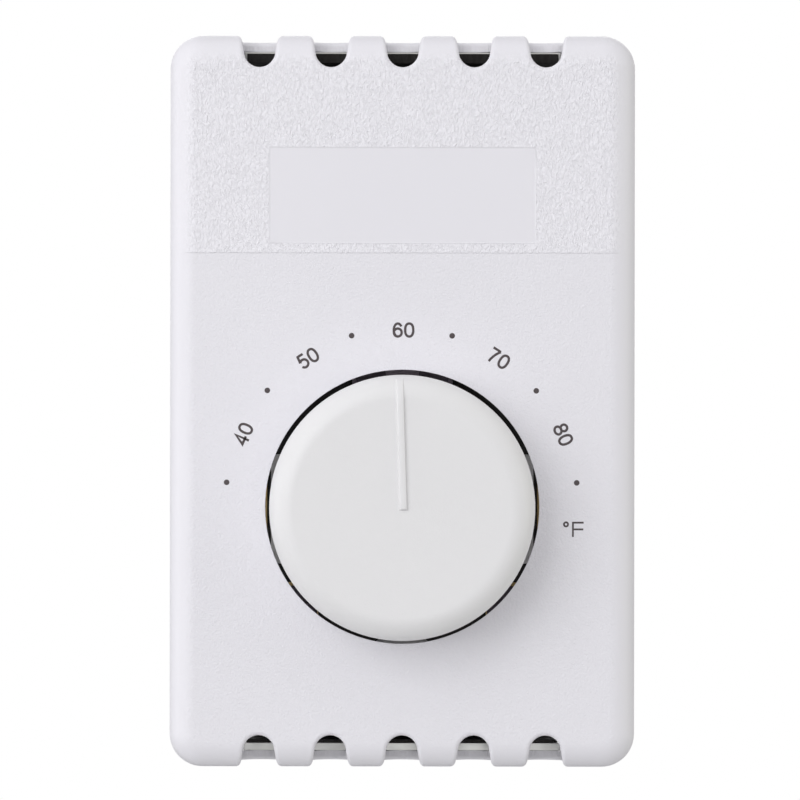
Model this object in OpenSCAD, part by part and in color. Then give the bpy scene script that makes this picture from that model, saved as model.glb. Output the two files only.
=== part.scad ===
// Wall thermostat for electric heaters: a snap-on cover over a steel wall plate,
// with a dial, a spiral cam, a bimetal strip and a single-pole switch inside.
// Millimetres. +X is right, +Z is up, the front faces -Y and the wall is Y = 0.

/* [Cover] */
// Width of the cover
cover_w = 73; // [72:0.5:75]
// Height of the cover
cover_h = 114.8; // [114.2:0.2:118]
// Distance from the wall to the cover's face
cover_depth = 28; // [28:0.5:31]
// Radius of the corners seen from the front
corner_r = 5.2; // [4.8:0.2:7]
// Radius of the rounded edge between face and sides
edge_r = 4; // [3:0.25:4.25]
// Thickness of the side walls
wall = 1.5; // [1.2:0.1:1.6]
// Thickness of the face
face_t = 2; // [1.6:0.2:2]

/* [Air notches] */
// Distance between neighbouring notches
notch_pitch = 11.26; // [10.5:0.02:11.5]
// Width of a notch
notch_w = 4.66; // [3.6:0.02:5]
// How far a notch reaches into the face
notch_reach = 4.9; // [4:0.1:6]
// Distance from the wall to a notch's rear end
notch_back = 9; // [9:0.25:10]

/* [Dial] */
// Distance of the dial's axis below the cover's centre
dial_drop = 16.5; // [16:0.1:17]
// Diameter of the dial's hole in the face
dial_hole_d = 42.7; // [42.2:0.1:44]
// Diameter of the knob
knob_d = 41.3; // [38:0.1:41.5]
// How far the knob stands out of the face
knob_rise = 12; // [10:0.5:14]
// Radius of the knob's rounded rim
knob_edge_r = 3.75; // [2:0.25:4]
// Width of the pointer rib
pointer_w = 1.1; // [0.6:0.1:1.4]
// Height of the pointer rib above the knob's face
pointer_h = 0.5; // [0.3:0.1:0.8]
// Angle of the pointer from straight up, in degrees
pointer_angle = 1.75; // [0:0.25:5]

/* [Wall plate] */
// Width of the wall plate
plate_w = 50.4; // [50:0.2:52]
// Thickness of the plate's steel
plate_t = 1.2; // [1:0.1:1.2]
// Depth of the plate's top and bottom flanges
flange_depth = 12.5; // [12:0.5:13]
// Distance between the two screws into the wall box
box_screw_pitch = 83.3; // [83:0.1:84]
// Diameter of the screw holes
box_screw_hole_d = 4.2; // [3.8:0.1:4.6]

/* [Mechanism] */
// How far the cam moves its carriage, in millimetres per radian
cam_rise = 0.6; // [0.3:0.05:0.6]
// Diameter of the dial shaft
shaft_d = 6; // [5.5:0.1:6]
// Gap between the contacts at rest
contact_gap = 0.9; // [0.9:0.05:1.1]

/* [Hidden] */
$fn = 64;

notch_count = 5;
dial_z = -dial_drop;
cover_back = 0.4;
inner_half_w = cover_w / 2 - wall;
inner_half_h = cover_h / 2 - wall;
face_back = cover_depth - face_t;
knob_r = knob_d / 2;
knob_face = cover_depth + knob_rise;
knob_back = cover_depth - 3.5;
shaft_r = shaft_d / 2;
bearing_r = shaft_r + 0.05;
flange_gap = 0.25;
plate_top = inner_half_h - flange_gap - 0.05;
plate_bottom = -(inner_half_h - flange_gap);
bead_x = 1.5 * notch_pitch;
bead_depths = [6.5, 8.5];

sheet_t = 0.5;
sheet_front = plate_t + sheet_t;
base_front = 8;
base_half_w = 24;
base_z = [-52, 36];
wire_entry = [17, 8];
wire_entry_z = -32.5;
screw_clear_r = 5.2;
rivet_r = 1.5;
rivet_spots = [[-20, 31], [20, 31], [-20, -48], [20, -48]];
ground_spot = [15, 45];

strip_t = 0.8;
lane_x = [21.6, 23.8];
terminal_spot = [17, -33];
terminal_screw_r = 1.9;

cam_depths = [9.5, 12.5];
cam_mean_r = 9;
cam_half_turn = 150;
stop_r = 12;
stop_pin_r = 1.2;
stop_angles = [-81.6, 85.1];

carriage_depths = [13, 14];
guide_x = 5;
guide_z = 4;
guide_r = 1.2;
follower_r = 1.8;
follower_z = dial_z + cam_mean_r + 0.3 + follower_r;
seat_z = 10.2;
spring_depth = 13.3;
spring_top = 20;

bimetal_depths = [16.5, 23.5];
bimetal_mid = 20;
bimetal_z = 12.15;
bimetal_t = 0.8;
bimetal_root = -19.5;
bimetal_tip = 22.5;
push_x = 16.2;

blade_depths = [10, 15];
blade_mid = 12.5;
blade_z = 24.6;
blade_t = 0.4;
blade_root = -19;
contact_x = 10;
contact_t = 0.7;
fixed_contact_top = blade_z - contact_t - contact_gap;
load_tab_z = fixed_contact_top - 0.8 - strip_t;

// ---------------------------------------------------------------- helpers

// Extrudes a front-view outline between two distances from the wall.
module slab(from, to) {
    translate([0, -from, 0])
        rotate([90, 0, 0])
            linear_extrude(to - from)
                children();
}

// Extrudes a side-view outline (distance from wall, height) between two x positions.
module across(left, right) {
    translate([right, 0, 0])
        rotate([0, 0, -90])
            rotate([90, 0, 0])
                linear_extrude(right - left)
                    children();
}

// Extrudes a plan outline (x, distance from wall) between two heights.
module upright(bottom, top) {
    translate([0, 0, bottom])
        mirror([0, 1, 0])
            linear_extrude(top - bottom)
                children();
}

// Box given by its ranges of x, distance from the wall, and height.
module block(x, depth, z) {
    translate([x[0], -depth[1], z[0]])
        cube([x[1] - x[0], depth[1] - depth[0], z[1] - z[0]]);
}

// Round bar that runs from front to back.
module rod(spot, from, to, r) {
    translate([spot[0], -from, spot[1]])
        rotate([90, 0, 0])
            cylinder(h = to - from, r = r);
}

// Round bar that runs up and down.
module pillar(x, depth, bottom, top, r) {
    translate([x, -depth, bottom])
        cylinder(h = top - bottom, r = r);
}

// Rectangle with round corners, centred on the origin.
module rounded_rect(w, h, r) {
    square([w - 2 * r, h], center = true);
    square([w, h - 2 * r], center = true);
    for (sx = [-1, 1], sy = [-1, 1])
        translate([sx * (w / 2 - r), sy * (h / 2 - r)])
            circle(r);
}

// Rectangle over ranges of u and v, round at its two corners on the high-u side.
module round_high_u(u, v, r) {
    translate([u[0], v[0]])
        square([u[1] - u[0] - r, v[1] - v[0]]);
    translate([u[0], v[0] + r])
        square([u[1] - u[0], v[1] - v[0] - 2 * r]);
    for (end = [v[0] + r, v[1] - r])
        translate([u[1] - r, end])
            circle(r);
}

// The same rectangle, round on its low-u side.
module round_low_u(u, v, r) {
    mirror([1, 0])
        round_high_u([-u[1], -u[0]], v, r);
}

// Cheese-head screw seen from the front: head, slot and shank.
module slotted_screw(spot, shank_from, seat, head_t, shank_r, head_r, slot_angle) {
    rod(spot, shank_from, seat, shank_r);
    difference() {
        rod(spot, seat, seat + head_t, head_r);
        translate([spot[0], -(seat + head_t), spot[1]])
            rotate([0, slot_angle, 0])
                cube([2.2 * head_r, head_t, 0.9], center = true);
    }
}

// ---------------------------------------------------------------- cover

// Solid block with round corners and a rounded front edge all the way round.
module soft_block(half_w, half_h, from, to, corner, edge) {
    for (sx = [-1, 1], sz = [-1, 1])
        translate([sx * (half_w - corner), -from, sz * (half_h - corner)])
            rotate([90, 0, 0])
                rotate_extrude()
                    soft_corner_profile(corner, edge, to - from);
    across(-(half_w - corner), half_w - corner)
        round_high_u([from, to], [-half_h, half_h], edge);
    upright(-(half_h - corner), half_h - corner)
        rotate(90)
            mirror([0, 1])
                round_high_u([from, to], [-half_w, half_w], edge);
}

module soft_corner_profile(corner, edge, length) {
    square([corner, length - edge]);
    square([corner - edge, length]);
    translate([corner - edge, length - edge])
        intersection() {
            circle(edge);
            square(edge);
        }
}

// Cutter for one notch in the top edge: round end in the face, round rear end.
module notch_cutter() {
    end_z = cover_h / 2 - notch_reach + notch_w / 2;
    rear = notch_back + notch_w / 2;
    intersection() {
        slab(0, cover_depth + 1)
            union() {
                translate([0, end_z])
                    circle(notch_w / 2);
                translate([-notch_w / 2, end_z])
                    square([notch_w, notch_reach]);
            }
        upright(0, cover_h)
            union() {
                translate([-notch_w / 2, rear])
                    square([notch_w, cover_depth]);
                translate([0, rear])
                    circle(notch_w / 2);
            }
    }
}

// Bead that snaps into a window of the wall plate's flange.
module snap_bead(x) {
    block([x - 2.4, x + 2.4], bead_depths, [inner_half_h - 1, inner_half_h + 0.2]);
}

module cover() {
    rib_spots = [-34, -6, 22, 44];
    color("gainsboro") {
        difference() {
            union() {
                difference() {
                    soft_block(cover_w / 2, cover_h / 2, cover_back, cover_depth, corner_r, edge_r);
                    soft_block(inner_half_w, inner_half_h, cover_back - 1, face_back,
                        corner_r - wall, corner_r - wall - 1);
                }
                rod([0, dial_z], face_back - 2.5, face_back + 0.5, dial_hole_d / 2 + 1.6);
            }
            rod([0, dial_z], 0, cover_depth + 1, dial_hole_d / 2);
            for (i = [0 : notch_count - 1], side = [0, 1])
                mirror([0, 0, side])
                    translate([(i - 2) * notch_pitch, 0, 0])
                        notch_cutter();
        }
        for (side = [0, 1], x = [-bead_x, bead_x])
            mirror([0, 0, side])
                snap_bead(x);
        for (side = [-1, 1], z = rib_spots)
            translate([side * (inner_half_w - 0.5), 0, 0])
                block([-0.7, 0.7], [2, face_back - 3.5], [z - 0.6, z + 0.6]);
    }
}

// ---------------------------------------------------------------- wall plate

module plate_openings() {
    translate([0, wire_entry_z])
        rounded_rect(wire_entry[0], wire_entry[1], 1.5);
    for (side = [-1, 1])
        translate([0, side * box_screw_pitch / 2])
            circle(box_screw_hole_d / 2);
    for (spot = rivet_spots)
        translate(spot)
            circle(rivet_r);
    translate(ground_spot)
        circle(1.6);
}

module mounting_plate() {
    half = plate_w / 2;
    color("lightgoldenrodyellow")
        difference() {
            across(-half, half)
                difference() {
                    round_low_u([0, flange_depth], [plate_bottom, plate_top], 1.8);
                    round_low_u([plate_t, flange_depth + 1],
                        [plate_bottom + plate_t, plate_top - plate_t], 0.6);
                }
            slab(-1, plate_t + 0.5)
                plate_openings();
            for (side = [-1, 1], x = [-bead_x, bead_x])
                translate([x, -(bead_depths[0] + bead_depths[1]) / 2, side * inner_half_h])
                    cube([5.6, 3, 6], center = true);
        }
}

// Black fibre liner of the plate. It laps over the front edge of the top flange.
module insulator_sheet() {
    half = plate_w / 2 - 0.4;
    low = plate_bottom + plate_t + 0.05;
    high = plate_top - plate_t - 0.05;
    lap = [flange_depth + 0.05, flange_depth + 0.55];
    color("dimgray") {
        difference() {
            across(-half, half)
                difference() {
                    round_low_u([plate_t, lap[1]], [low, high], 0.7);
                    round_low_u([sheet_front, lap[1] + 1], [low + sheet_t, high - sheet_t], 0.2);
                }
            slab(0, sheet_front + 0.5)
                sheet_openings();
            block([-half - 1, half + 1], [flange_depth - 0.1, lap[1] + 1], [low - 1, low + 1]);
        }
        block([-half, half], lap, [high - sheet_t, plate_top - 0.24]);
    }
}

module sheet_openings() {
    translate([0, wire_entry_z])
        rounded_rect(wire_entry[0], wire_entry[1], 1.5);
    for (side = [-1, 1])
        translate([0, side * box_screw_pitch / 2])
            circle(screw_clear_r);
    for (spot = rivet_spots)
        translate(spot)
            circle(rivet_r);
    translate(ground_spot)
        circle(3.8);
}

// ---------------------------------------------------------------- switch base

module switch_base() {
    color("black") {
        difference() {
            union() {
                slab(sheet_front, base_front)
                    base_outline();
                base_posts();
            }
            base_bores();
        }
    }
}

module base_outline() {
    difference() {
        translate([0, (base_z[0] + base_z[1]) / 2])
            rounded_rect(2 * base_half_w, base_z[1] - base_z[0], 2);
        translate([0, wire_entry_z])
            rounded_rect(wire_entry[0], wire_entry[1], 1.5);
        translate([0, -box_screw_pitch / 2])
            circle(screw_clear_r);
    }
}

module base_posts() {
    for (side = [-1, 1])
        rod([side * guide_x, guide_z], base_front - 1, carriage_depths[0] - 0.3, 2.6);
    // cheeks that guide the push bar
    for (x = [push_x - 2.75, push_x + 2.75])
        block([x - 0.85, x + 0.85], [base_front - 1, 12.6], [15.8, 19]);
    // arm under the magnet
    block([17.6, 21.2], [base_front - 1, 22.5], [3, 6]);
}

module base_bores() {
    rod([0, dial_z], 0, base_front + 1, bearing_r);
    for (spot = rivet_spots)
        rod(spot, 0, base_front + 1, rivet_r);
    for (side = [-1, 1]) {
        rod([side * terminal_spot[0], terminal_spot[1]], 3, base_front + 1, terminal_screw_r);
        rod([side * guide_x, guide_z], 5, carriage_depths[0], guide_r);
        rod([side * 18.4, dial_z], 4, base_front + 1, 1.3);
        rod([side * 2.6, 25.4], 5, base_front + 1, 0.9);
    }
    for (angle = stop_angles)
        rod(stop_spot(angle), 5, base_front + 1, stop_pin_r);
    for (side = [-1, 1])
        rod([side * 9.6, 0.5], 7, base_front + 1, 0.4);
}

// Centre of a stop pin, by its angle clockwise from straight up.
function stop_spot(angle) = [stop_r * sin(angle), dial_z + stop_r * cos(angle)];

module base_rivets() {
    color("silver")
        for (spot = rivet_spots) {
            rod(spot, 0.05, base_front, rivet_r);
            rod(spot, base_front, base_front + 0.9, 2.7);
        }
}

// ---------------------------------------------------------------- terminals

// Flat brass track from the screw pad up the side of the base, for the right side.
module terminal_track(top) {
    slab(base_front, base_front + strip_t)
        difference() {
            union() {
                translate([terminal_spot[0] - 3.6, terminal_spot[1] - 4])
                    square([lane_x[1] - terminal_spot[0] + 3.6, 8]);
                translate([lane_x[0], terminal_spot[1]])
                    square([lane_x[1] - lane_x[0], top - terminal_spot[1]]);
            }
            translate(terminal_spot)
                circle(terminal_screw_r);
        }
}

module line_terminal() {
    tab_top = blade_z - 0.35;
    color("goldenrod")
        difference() {
            union() {
                mirror([1, 0, 0])
                    terminal_track(tab_top);
                block([-lane_x[1], -15.5], [base_front, base_front + strip_t], [tab_top - 3, tab_top]);
                block([-lane_x[1], -15.5], [base_front, blade_depths[1] + 0.5], [tab_top - strip_t, tab_top]);
            }
            blade_rivet_bores(0.8);
        }
}

module load_terminal() {
    color("goldenrod") {
        terminal_track(load_tab_z + strip_t);
        block([contact_x - 3.5, lane_x[1]], [base_front, base_front + strip_t], [load_tab_z - 1.8, load_tab_z + strip_t]);
        block([contact_x - 3.5, contact_x + 3.2], [base_front, blade_depths[1] + 0.5], [load_tab_z, load_tab_z + strip_t]);
    }
}

module terminal_screws() {
    color("silver")
        for (side = [-1, 1])
            slotted_screw([side * terminal_spot[0], terminal_spot[1]], 3.2, base_front + strip_t, 2,
                terminal_screw_r, 3.5, 30 * side);
}

module ground_screw() {
    color("green")
        slotted_screw(ground_spot, 0.05, plate_t, 2.2, 1.6, 3.3, 20);
}

// ---------------------------------------------------------------- dial support

module dial_bracket() {
    leg = 14.8;
    t = 1.2;
    low = dial_z - 9.5;
    high = dial_z + 8;
    color("lightsteelblue")
        difference() {
            union() {
                block([-leg - t, leg + t], [16, 16 + t], [low, high]);
                for (side = [0, 1])
                    mirror([side, 0, 0]) {
                        block([leg, leg + t], [base_front, 16 + t], [low, high]);
                        block([leg, 21], [base_front, base_front + t], [low, high]);
                    }
            }
            rod([0, dial_z], 10, 20, 4.5);
            for (side = [-1, 1])
                rod([side * 18.4, dial_z], 5, 12, 1.3);
        }
}

module bracket_screws() {
    color("silver")
        for (side = [-1, 1])
            slotted_screw([side * 18.4, dial_z], 4.2, base_front + 1.2, 1.6, 1.3, 2.2, 50 * side);
}

module shaft_bushing() {
    color("goldenrod")
        difference() {
            union() {
                rod([0, dial_z], 14.5, 21, 4.5);
                rod([0, dial_z], 17.2, 18.8, 6.5);
            }
            rod([0, dial_z], 10, 25, bearing_r);
        }
}

module stop_pins() {
    color("silver")
        for (angle = stop_angles)
            rod(stop_spot(angle), 5.1, 13, stop_pin_r);
}

module guide_screws() {
    color("silver")
        for (side = [-1, 1])
            slotted_screw([side * guide_x, guide_z], 5.2, carriage_depths[1] + 0.3, 1, guide_r, 2.4, 40);
}

module spring_bracket() {
    color("lightsteelblue")
        difference() {
            union() {
                block([-4.5, 4.5], [base_front, base_front + 1], [spring_top, 28]);
                block([-4.5, 4.5], [base_front, 16.2], [spring_top, spring_top + 1]);
            }
            for (side = [-1, 1])
                rod([side * 2.6, 25.4], 5, 12, 0.9);
        }
}

module spring_bracket_rivets() {
    color("silver")
        for (side = [-1, 1]) {
            rod([side * 2.6, 25.4], 5.1, base_front + 1, 0.9);
            rod([side * 2.6, 25.4], base_front + 1, base_front + 1.5, 1.6);
        }
}

// ---------------------------------------------------------------- switch

module blade_rivet_bores(r) {
    for (depth = [11.2, 13.8])
        pillar(blade_root, depth, blade_z - 3, blade_z + 3, r);
}

module blade_clamp() {
    color("goldenrod")
        difference() {
            block([-22.5, -15.5], [9.5, 15.5], [blade_z + blade_t + 0.35, blade_z + blade_t + 1.15]);
            blade_rivet_bores(0.8);
        }
}

module blade_rivets() {
    low = blade_z - 0.35 - strip_t;
    high = blade_z + blade_t + 1.15;
    color("silver")
        for (depth = [11.2, 13.8]) {
            pillar(blade_root, depth, low - 0.5, high + 0.5, 0.8);
            pillar(blade_root, depth, low - 0.5, low, 1.2);
            pillar(blade_root, depth, high, high + 0.5, 1.2);
        }
}

module fixed_contact() {
    color("white")
        pillar(contact_x, blade_mid, load_tab_z + strip_t, fixed_contact_top, 2.2);
}

module contact_blade() {
    color("peru")
        difference() {
            block([-22.8, push_x + 3.4], blade_depths, [blade_z, blade_z + blade_t]);
            blade_rivet_bores(1.15);
        }
}

module moving_contact() {
    color("white")
        pillar(contact_x, blade_mid, blade_z - contact_t, blade_z, 2);
}

module push_bar() {
    low = bimetal_z + bimetal_t + 1.05 + 1.2;
    color("ivory")
        block([push_x - 1.5, push_x + 1.5], [11, 22], [low, blade_z - 0.4]);
}

module snap_magnet() {
    color("gray")
        block([17.9, 21.1], [17.5, 22.5], [6, 9.4]);
}

module anticipator_resistor() {
    color("sienna")
        translate([-6.5, -19, 0.5])
            rotate([0, 90, 0])
                cylinder(h = 13, r = 2.2);
}

module resistor_leads() {
    color("silver")
        for (side = [0, 1])
            mirror([side, 0, 0]) {
                translate([6.5, -19, 0.5])
                    rotate([0, 90, 0])
                        cylinder(h = 3.1, r = 0.4);
                rod([9.6, 0.5], 7.1, 19, 0.4);
                translate([9.6, -19, 0.5])
                    sphere(0.4);
            }
}

// ---------------------------------------------------------------- dial

// Half section of the knob's outer shape, from its back edge to a given face.
module knob_outline(face, edge) {
    length = face - knob_back;
    square([knob_r, length - edge]);
    square([knob_r - edge, length]);
    translate([knob_r - edge, length - edge])
        intersection() {
            circle(edge);
            square(edge);
        }
}

module knob_body(face, edge) {
    translate([0, -knob_back, dial_z])
        rotate([90, 0, 0])
            rotate_extrude()
                knob_outline(face, edge);
}

// Raised bar from the knob's centre to its rim, level with the face at the rim.
module pointer() {
    translate([0, 0, dial_z])
        rotate([0, -pointer_angle, 0])
            translate([0, 0, -dial_z])
                intersection() {
                    knob_body(knob_face + pointer_h, knob_edge_r + pointer_h);
                    block([-pointer_w / 2, pointer_w / 2], [knob_face - 3, knob_face + 1],
                        [dial_z - 0.2, dial_z + knob_r - 0.7]);
                }
}

module knob() {
    hub_r = shaft_r + 2.6;
    skin = 1.7;
    color("whitesmoke")
        difference() {
            union() {
                difference() {
                    knob_body(knob_face, knob_edge_r);
                    rod([0, dial_z], knob_back - 1, knob_face - knob_edge_r - 0.5, knob_r - skin);
                    rod([0, dial_z], knob_back - 1, knob_face - 2, knob_r - knob_edge_r - 0.5);
                }
                rod([0, dial_z], knob_back - 1, knob_face - 1, hub_r);
                for (angle = [0 : 60 : 300])
                    translate([0, 0, dial_z])
                        rotate([0, angle, 0])
                            block([hub_r - 1, knob_r - skin + 0.4], [knob_back + 5, knob_face - 4.5], [-0.6, 0.6]);
                pointer();
            }
            difference() {
                rod([0, dial_z], knob_back - 2, knob_face - 2.4, shaft_r);
                block([-5, 5], [knob_back - 3, knob_face], [dial_z + flat_z() + 0.55, dial_z + 5]);
            }
        }
}

// Height of the shaft's flat above its axis.
function flat_z() = shaft_r - 1.4;

module knob_spring() {
    color("slategray")
        block([-1.7, 1.7], [knob_back + 1, knob_face - 5], [dial_z + flat_z(), dial_z + flat_z() + 0.5]);
}

module dial_shaft() {
    color("silver")
        difference() {
            rod([0, dial_z], 2, knob_face - 2.6, shaft_r);
            block([-5, 5], [knob_back - 1.5, knob_face], [dial_z + flat_z(), dial_z + 5]);
            difference() {
                rod([0, dial_z], 21.4, 22.2, shaft_r + 1);
                rod([0, dial_z], 21, 23, shaft_r - 0.4);
            }
        }
}

module retaining_clip() {
    color("slategray")
        difference() {
            rod([0, dial_z], 21.4, 22.2, shaft_r + 1.8);
            rod([0, dial_z], 21, 23, shaft_r - 0.4);
            block([-1.6, 1.6], [21, 23], [dial_z - 6, dial_z]);
        }
}

// Spiral edge: the radius falls evenly with the angle to the left of straight up.
function spiral_point(a) =
    (cam_mean_r - cam_rise * a * PI / 180) * [-sin(a), cos(a)];

module cam() {
    steps = 50;
    color("goldenrod")
        difference() {
            union() {
                translate([0, 0, dial_z])
                    slab(cam_depths[0], cam_depths[1])
                        polygon([for (i = [0 : steps])
                            spiral_point(-cam_half_turn + 2 * cam_half_turn * i / steps)]);
                rod([0, dial_z], base_front + 0.4, cam_depths[1], shaft_r + 2.4);
                block([-1.5, 1.5], cam_depths, [dial_z - stop_r - 1, dial_z - 5]);
            }
            rod([0, dial_z], 5, 20, shaft_r);
        }
}

// ---------------------------------------------------------------- carriage

module carriage() {
    arm_top = bimetal_z - 0.35;
    color("lightsteelblue")
        difference() {
            union() {
                block([-8, 8], carriage_depths, [follower_z - 2.4, seat_z + 1]);
                block([-23, -7], carriage_depths, [arm_top - 5, arm_top]);
                block([-23, -16], [carriage_depths[0], bimetal_depths[1] + 0.3], [arm_top - 1, arm_top]);
                block([-3.2, 3.2], [10.4, 16.1], [seat_z, seat_z + 1]);
            }
            for (side = [-1, 1])
                guide_slot(side * guide_x);
            rod([0, follower_z], 12, 15, 1);
            bimetal_rivet_bores(0.9);
        }
}

module guide_slot(x) {
    slot_r = guide_r + 0.05;
    for (z = [guide_z - 1, guide_z + 1])
        rod([x, z], 12, 15, slot_r);
    block([x - slot_r, x + slot_r], [12, 15], [guide_z - 1, guide_z + 1]);
}

module follower_pin() {
    color("silver") {
        rod([0, follower_z], 9.8, carriage_depths[0], follower_r);
        rod([0, follower_z], carriage_depths[0], carriage_depths[1], 1);
        rod([0, follower_z], carriage_depths[1], carriage_depths[1] + 0.5, 1.7);
    }
}

// Wire coil between the carriage's seat and the fixed bracket.
module carriage_spring() {
    turns = 5;
    low = seat_z + 1;
    color("slategray")
        translate([0, -spring_depth, low])
            linear_extrude(height = spring_top - low, twist = -360 * turns, slices = 12 * turns, $fn = 8)
                spring_wire_section(1.9, 2.5, 110);
}

// Bow-shaped slice of a coiled wire: inner and outer radius, and its angle.
module spring_wire_section(inner, outer, angle) {
    steps = 6;
    polygon(concat(
        [for (i = [0 : steps]) outer * [cos(angle * i / steps), sin(angle * i / steps)]],
        [for (i = [steps : -1 : 0]) inner * [cos(angle * i / steps), sin(angle * i / steps)]]
    ));
}

module bimetal_rivet_bores(r) {
    for (depth = [18.3, 21.7])
        pillar(bimetal_root, depth, bimetal_z - 3, bimetal_z + 4, r);
}

module bimetal_clamp() {
    low = bimetal_z + bimetal_t + 0.35;
    color("lightsteelblue")
        difference() {
            block([-23, -16], [16.2, bimetal_depths[1] + 0.3], [low, low + 1]);
            bimetal_rivet_bores(0.9);
        }
}

module bimetal_rivets() {
    low = bimetal_z - 0.35 - 1;
    high = bimetal_z + bimetal_t + 0.35 + 1;
    color("silver")
        for (depth = [18.3, 21.7]) {
            pillar(bimetal_root, depth, low - 0.6, high + 0.6, 0.9);
            pillar(bimetal_root, depth, low - 0.6, low, 1.5);
            pillar(bimetal_root, depth, high, high + 0.6, 1.5);
        }
}

module bimetal_strip() {
    color("darkkhaki")
        difference() {
            block([-22.8, bimetal_tip], bimetal_depths, [bimetal_z, bimetal_z + bimetal_t]);
            bimetal_rivet_bores(1.25);
            pillar(push_x, bimetal_mid, bimetal_z - 1, bimetal_z + 2, 1.2);
        }
}

module armature() {
    color("gray")
        block([18.9, bimetal_tip], [17.5, 22.5], [bimetal_z - 0.8, bimetal_z]);
}

// Set screw in the strip's tip: its rounded end meets the push bar.
module calibration_screw() {
    top = bimetal_z + bimetal_t + 1.05;
    color("goldenrod")
        difference() {
            pillar(push_x, bimetal_mid, bimetal_z - 1.6, top, 1.2);
            translate([push_x, -bimetal_mid, bimetal_z - 1.6])
                cube([3, 0.5, 1.2], center = true);
        }
}

cover();
mounting_plate();
insulator_sheet();
switch_base();
base_rivets();
line_terminal();
load_terminal();
terminal_screws();
ground_screw();
dial_bracket();
bracket_screws();
shaft_bushing();
stop_pins();
guide_screws();
spring_bracket();
spring_bracket_rivets();
blade_clamp();
blade_rivets();
fixed_contact();
snap_magnet();
anticipator_resistor();
resistor_leads();
knob();
knob_spring();
dial_shaft();
retaining_clip();
cam();
carriage();
follower_pin();
carriage_spring();
bimetal_clamp();
bimetal_rivets();
bimetal_strip();
armature();
calibration_screw();
push_bar();
contact_blade();
moving_contact();
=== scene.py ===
import math

import bmesh
import bpy
from mathutils import Matrix, Vector
from mathutils.geometry import delaunay_2d_cdt


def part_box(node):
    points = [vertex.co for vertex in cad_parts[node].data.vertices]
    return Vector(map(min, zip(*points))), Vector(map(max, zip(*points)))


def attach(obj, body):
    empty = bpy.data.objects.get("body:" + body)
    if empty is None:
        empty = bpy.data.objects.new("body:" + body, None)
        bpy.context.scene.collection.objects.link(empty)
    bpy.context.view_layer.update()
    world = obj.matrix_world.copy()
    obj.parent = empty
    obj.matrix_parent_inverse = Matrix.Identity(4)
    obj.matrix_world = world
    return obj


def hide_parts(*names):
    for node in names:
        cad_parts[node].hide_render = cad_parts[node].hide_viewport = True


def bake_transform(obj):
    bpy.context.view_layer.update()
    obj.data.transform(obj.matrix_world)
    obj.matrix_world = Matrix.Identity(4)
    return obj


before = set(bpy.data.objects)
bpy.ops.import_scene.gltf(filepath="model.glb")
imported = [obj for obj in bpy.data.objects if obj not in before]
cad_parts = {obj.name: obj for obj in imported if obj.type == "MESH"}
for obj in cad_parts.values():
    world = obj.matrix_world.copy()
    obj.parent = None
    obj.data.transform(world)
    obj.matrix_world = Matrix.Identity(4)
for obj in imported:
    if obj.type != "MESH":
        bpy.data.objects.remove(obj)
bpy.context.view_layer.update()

MM = 0.001


def box_mm(node):
    """Lowest and highest corner of a CAD node, in millimetres."""
    low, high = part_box(node)
    return low / MM, high / MM


# ---------------------------------------------------------------- sizes, from the frame

COVER_LOW, COVER_HIGH = box_mm("cover")
KNOB_LOW, KNOB_HIGH = box_mm("knob")
SHAFT_LOW, SHAFT_HIGH = box_mm("dial_shaft")

COVER_W = COVER_HIGH.x - COVER_LOW.x
COVER_H = COVER_HIGH.z - COVER_LOW.z
FACE_DEPTH = -COVER_LOW.y
COVER_BACK = -COVER_HIGH.y

CORNER_R = 5.2
EDGE_R = 4.0
FACE_T = 2.0
WALL_T = 1.5
RIM_R = 0.4

NOTCH_PITCH = 11.22
NOTCH_R = 2.42
NOTCH_FLARE = 0.55
NOTCH_COUNT = 5
NOTCH_REACH = 5.1
NOTCH_BACK = 9.0
NOTCH_EDGE_R = 0.7

DIAL_Z = (SHAFT_LOW.z + SHAFT_HIGH.z) / 2
# The shown hole and knob leave a slightly wider gap than the CAD parts, like the photo's.
HOLE_R = 21.44
HOLE_EDGE_R = 0.06
HOLE_SEGMENTS = 120
COLLAR_T = 1.6
COLLAR_DEPTH = 23.5
COLLAR_DRAFT = 0.8

KNOB_TRIM = 0.05
KNOB_R = (KNOB_HIGH.x - KNOB_LOW.x) / 2 - KNOB_TRIM
KNOB_FACE = 40.0
KNOB_BACK = 24.5
KNOB_EDGE_R = 3.75
POINTER_ANGLE = math.radians(1.75)
POINTER_X = 0.2

POINTER_H = 0.5
KNOB_SKIN = 1.7
HUB_R = 5.6
BORE_R = 3.0
BORE_FLAT = 2.15

BEAD_X = 1.5 * NOTCH_PITCH
BEAD_DEPTHS = (6.5, 8.5)
RIB_Z = (-34, -6, 22, 44)

SCALE_FIGURES = ("40", "50", "60", "70", "80")
SCALE_STEP = 33.1
SCALE_Z = DIAL_Z + 0.3
FIGURE_X = 0.15
FIGURE_R = 27.35
DOT_X = -0.09
DOT_R = 27.6
DOT_SIZE = 0.44
UNIT_ANGLE = 98.0
UNIT_R = 27.0
PRINT_T = 0.02
FIGURE_W = 1.26
FIGURE_H = 2.03
FIGURE_ADVANCE = 1.81
UNIT_ADVANCE = 1.38
STROKE_W = 0.38
UNIT_STROKE_W = 0.28

SPRING_TURNS = 5
WIRE_R = 0.3
NODE_BEVEL = {"phenolic": 0.25, "fibre": 0.1, "plated_steel": 0.18}

FLOOR_R = 0.35
FLOOR_Z = -0.5
SKY_LIGHT = 0.545
GROUND_LIGHT = 0.29
HORIZON_FADE = (-0.5, -0.1)
LIGHT_DISTANCE = 1.3
CAMERA_LENS = 229
CAMERA_PLACE = (-0.00037, -0.824, 0.0002)
CAMERA_ROLL = math.radians(-0.09)

PANEL_HALF_W = 20.9
PANEL_Z = (24.7, 39.75)
PANEL_DEPTH = 0.05
PANEL_BEVEL = 0.25
COARSE_ABOVE_Z = 23.2

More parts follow.
